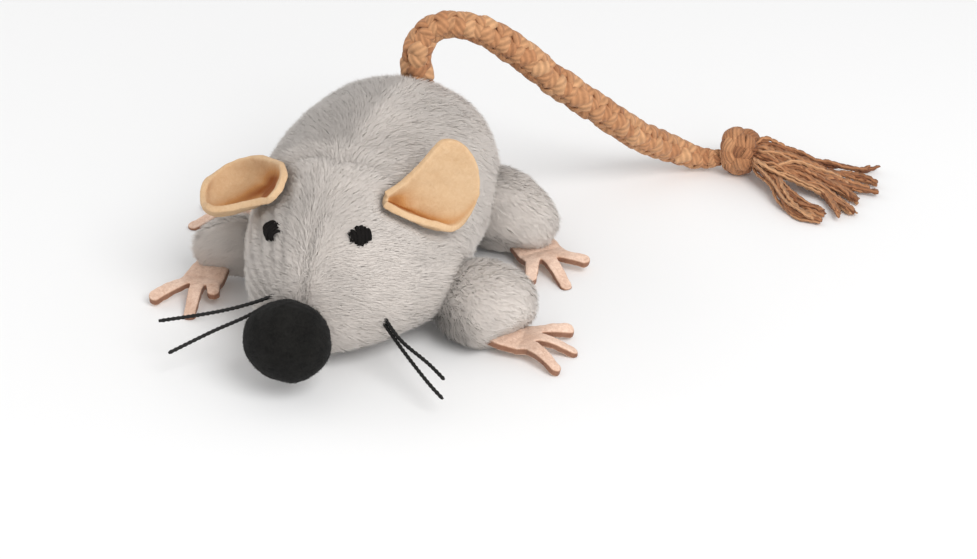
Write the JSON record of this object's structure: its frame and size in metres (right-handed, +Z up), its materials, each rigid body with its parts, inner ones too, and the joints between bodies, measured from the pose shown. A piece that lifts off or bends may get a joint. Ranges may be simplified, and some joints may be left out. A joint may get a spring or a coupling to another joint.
{
  "type": "plush toy mouse",
  "caption": "Stuffed plush toy mouse with pinched felt ears, leather paws, a felt nose and a braided cord tail that ends in a knot and a frayed tassel.",
  "frame": {"origin": "on the surface that the toy rests on, under the middle of its trunk's flat belly", "axes": "+Z up, the toy faces -Y, and its own left side is towards +X"},
  "size_m": [0.1767, 0.1748, 0.0651],
  "materials": {
    "fur": "short grey plush pile",
    "filling": "loose fibre stuffing",
    "ear_felt": "thick tan felt",
    "paw_leather": "pinkish suede",
    "nose_felt": "felted black wool",
    "thread": "waxed dark thread",
    "braid": "braided tan fibre cord"
  },
  "bodies": {
    "trunk": {"body_cover": "fur", "body_filling": "filling", "head_cover": "fur", "head_filling": "filling", "nose": "nose_felt", "left_eye": "thread", "right_eye": "thread", "left_upper_whisker": "thread", "left_lower_whisker": "thread", "right_upper_whisker": "thread", "right_lower_whisker": "thread", "tail_cord": "braid", "tail_knot": "braid", "tail_tassel": "braid"},
    "front_left_limb": {"front_left_leg": "fur", "front_left_filling": "filling", "front_left_paw": "paw_leather"},
    "front_right_limb": {"front_right_leg": "fur", "front_right_filling": "filling", "front_right_paw": "paw_leather"},
    "rear_left_limb": {"rear_left_leg": "fur", "rear_left_filling": "filling", "rear_left_paw": "paw_leather"},
    "rear_right_limb": {"rear_right_leg": "fur", "rear_right_filling": "filling", "rear_right_paw": "paw_leather"},
    "left_ear_flap": {"left_ear": "ear_felt"},
    "right_ear_flap": {"right_ear": "ear_felt"}
  },
  "joints": [
    {"name": "front_left_hip", "type": "hinge", "parent": "trunk", "child": "front_left_limb", "pos_m": [0.02537, -0.01581, 0.01111], "axis": [0, 0, 1], "range_deg": [-12, 12], "stiffness_Nm_per_rad": 0.02},
    {"name": "front_right_hip", "type": "hinge", "parent": "trunk", "child": "front_right_limb", "pos_m": [-0.02537, -0.01102, 0.01111], "axis": [0, 0, 1], "range_deg": [-12, 12], "stiffness_Nm_per_rad": 0.02},
    {"name": "rear_left_hip", "type": "hinge", "parent": "trunk", "child": "rear_left_limb", "pos_m": [0.02448, 0.02856, 0.01313], "axis": [0, 0, 1], "range_deg": [-12, 12], "stiffness_Nm_per_rad": 0.02},
    {"name": "rear_right_hip", "type": "hinge", "parent": "trunk", "child": "rear_right_limb", "pos_m": [-0.02448, 0.02856, 0.01313], "axis": [0, 0, 1], "range_deg": [-12, 12], "stiffness_Nm_per_rad": 0.02},
    {"name": "left_ear_seam", "type": "hinge", "parent": "trunk", "child": "left_ear_flap", "pos_m": [0.01446, -0.02366, 0.04292], "axis": [0.1152, -0.0525, -0.992], "range_deg": [-4, 25], "stiffness_Nm_per_rad": 0.001},
    {"name": "right_ear_seam", "type": "hinge", "parent": "trunk", "child": "right_ear_flap", "pos_m": [-0.01446, -0.02346, 0.04166], "axis": [0.0456, 0.9678, 0.2474], "range_deg": [-4, 25], "stiffness_Nm_per_rad": 0.001}
  ]
}
